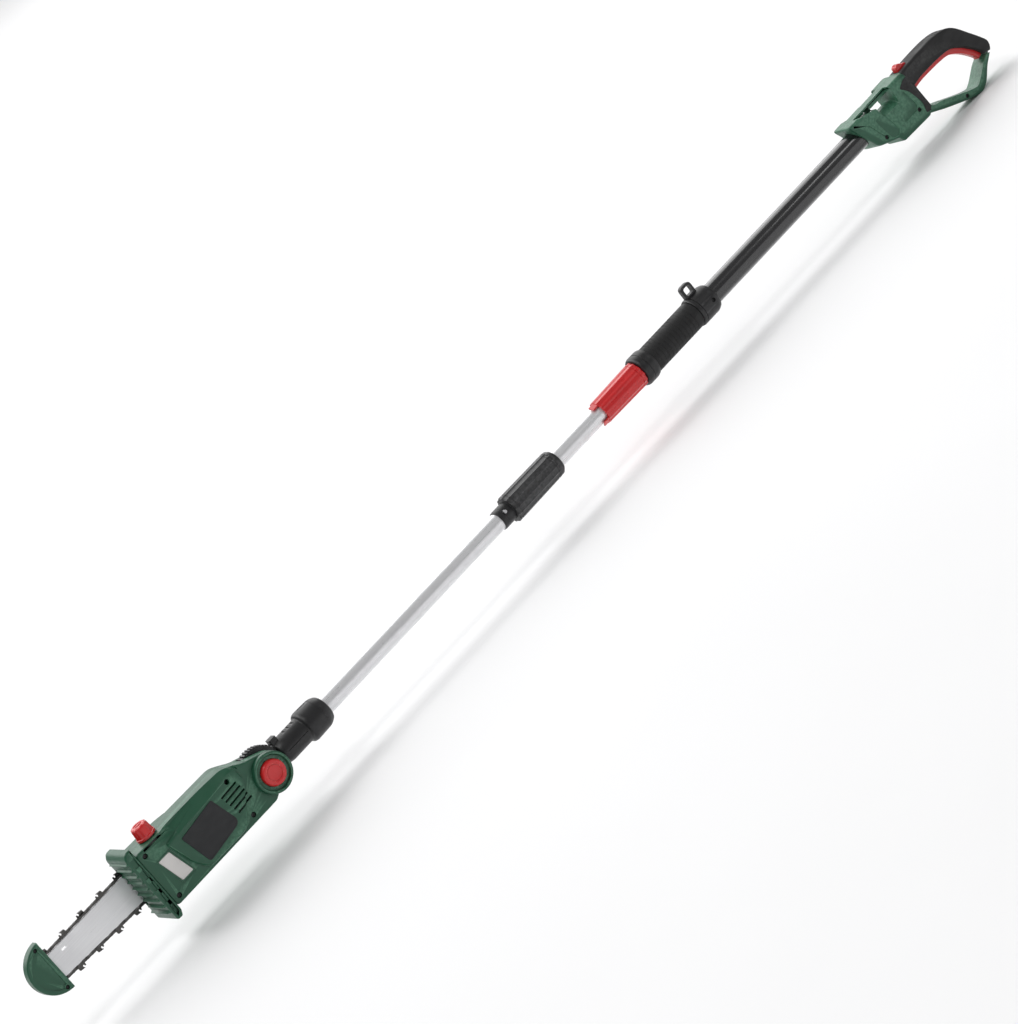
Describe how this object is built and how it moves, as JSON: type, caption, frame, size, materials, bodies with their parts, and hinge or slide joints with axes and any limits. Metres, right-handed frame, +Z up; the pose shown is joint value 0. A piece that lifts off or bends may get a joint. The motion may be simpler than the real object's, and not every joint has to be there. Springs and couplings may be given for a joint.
{
  "type": "telescoping pole saw",
  "caption": "Cordless telescoping pole saw with a tilting chainsaw head, coupled pole, twist lock and D-handle with trigger.",
  "frame": {"origin": "bottom centre of the whole saw's box, lying level with the pole collapsed; the pole axis is 90 mm above it", "axes": "+X along the pole from the bar to the handle, +Z up through the oil cap and the grip, -Y the side with the tilt button"},
  "size_m": [2.114, 0.092, 0.1717],
  "materials": {
    "green_plastic": "dark green glass-filled nylon, satin, fine grain",
    "black_plastic": "black moulded nylon, satin",
    "black_rubber": "black soft-touch overmould, matt",
    "grey_plastic": "dark grey moulded plastic",
    "red_plastic": "signal red moulded plastic, semi-gloss",
    "tube_silver": "satin anodised aluminium tube",
    "tube_black": "black anodised tube, glossy",
    "bar_steel": "ground steel bar with fine scratches",
    "chain_steel": "dark oiled chain steel",
    "steel": "plain machine steel",
    "clear_plastic": "translucent white tank plastic",
    "board_green": "printed circuit board"
  },
  "bodies": {
    "handle": {"handle_shell_near": "green_plastic", "handle_shell_far": "green_plastic", "soft_grip": "black_rubber", "handle_screw_1": "steel", "handle_screw_2": "steel", "handle_screw_3": "steel", "battery_rails": "black_plastic", "contact_block": "grey_plastic", "control_board": "board_green", "switch_body": "grey_plastic", "outer_tube": "tube_black", "clamp_collet": "grey_plastic", "front_collar": "black_plastic", "front_grip": "black_rubber", "rear_collar": "black_plastic", "strap_screw": "steel", "coil_cable": "black_rubber"},
    "trigger": {"trigger": "red_plastic"},
    "lock_off": {"lock_off": "red_plastic"},
    "lock_sleeve": {"lock_sleeve": "red_plastic"},
    "telescope": {"upper_tube": "tube_silver", "guide_bush": "grey_plastic", "coupling_plug": "grey_plastic", "coupling_socket": "black_plastic", "coupling_pin": "steel", "lower_tube": "tube_silver", "neck": "black_plastic"},
    "coupling_nut": {"coupling_nut": "black_plastic"},
    "head": {"head_shell_near": "green_plastic", "head_shell_far": "green_plastic", "head_screw_1": "steel", "head_screw_2": "steel", "head_screw_3": "steel", "head_screw_4": "steel", "oil_window": "clear_plastic", "label_panel": "grey_plastic", "bumper_flange": "green_plastic", "chain_cover": "green_plastic", "bar_stud": "steel", "guide_bar": "bar_steel", "saw_chain": "chain_steel", "nose_guard": "green_plastic", "guard_screw_1": "steel", "guard_screw_2": "steel", "gear_bracket": "steel", "shaft_bearing_outer": "steel", "shaft_bearing_inner": "steel", "motor_can": "steel", "oil_tank": "clear_plastic", "oil_pump": "grey_plastic", "pivot_pin": "steel", "button_spring": "steel"},
    "tilt_button": {"tilt_button": "red_plastic"},
    "oil_cap": {"oil_cap": "red_plastic"},
    "cover_knob": {"cover_knob": "black_plastic"},
    "drive_shaft": {"output_shaft": "steel", "drive_gear": "grey_plastic", "drive_sprocket": "steel"},
    "motor_shaft": {"motor_rotor": "steel", "motor_pinion": "steel"}
  },
  "joints": [
    {"name": "telescope_slide", "type": "slide", "parent": "handle", "child": "telescope", "axis": [-1, 0, 0], "range_m": [0, 0.45], "deforming": ["coil_cable"]},
    {"name": "lock_sleeve_turn", "type": "hinge", "parent": "handle", "child": "lock_sleeve", "pos_m": [0.183, -0.005, 0.09], "axis": [1, 0, 0], "range_deg": [0, 90]},
    {"name": "coupling_nut_turn", "type": "hinge", "parent": "telescope", "child": "coupling_nut", "pos_m": [-0.017, -0.005, 0.09], "axis": [1, 0, 0], "range_deg": [0, 180]},
    {"name": "head_tilt", "type": "hinge", "parent": "telescope", "child": "head", "pos_m": [-0.617, -0.005, 0.09], "axis": [0, 1, 0], "range_deg": [-60, 30]},
    {"name": "tilt_button_press", "type": "slide", "parent": "head", "child": "tilt_button", "axis": [0, 1, 0], "range_m": [0, 0.003], "stiffness_N_per_m": 600, "springref_m": -0.002, "deforming": ["button_spring"]},
    {"name": "oil_cap_turn", "type": "hinge", "parent": "head", "child": "oil_cap", "pos_m": [-0.805, -0.011, 0.15], "axis": [0, 0, 1], "range_deg": [0, 120]},
    {"name": "cover_knob_turn", "type": "hinge", "parent": "head", "child": "cover_knob", "pos_m": [-0.807, 0.031, 0.103], "axis": [0, 1, 0], "range_deg": [0, 180]},
    {"name": "drive_shaft_spin", "type": "hinge", "parent": "head", "child": "drive_shaft", "pos_m": [-0.732, -0.005, 0.103], "axis": [0, 1, 0], "continuous": true},
    {"name": "motor_shaft_spin", "type": "hinge", "parent": "head", "child": "motor_shaft", "pos_m": [-0.687, -0.005, 0.103], "axis": [0, 1, 0], "continuous": true},
    {"name": "trigger_pull", "type": "hinge", "parent": "handle", "child": "trigger", "pos_m": [0.902, -0.005, 0.094], "axis": [0, -1, 0], "range_deg": [0, 2.5], "stiffness_Nm_per_rad": 6, "springref_deg": -3.44},
    {"name": "lock_off_press", "type": "slide", "parent": "handle", "child": "lock_off", "axis": [0, 0, -1], "range_m": [0, 0.003], "stiffness_N_per_m": 500, "springref_m": -0.002}
  ],
  "couplings": [
    {"joint": "motor_shaft_spin", "follows": "drive_shaft_spin", "ratio": -4}
  ]
}
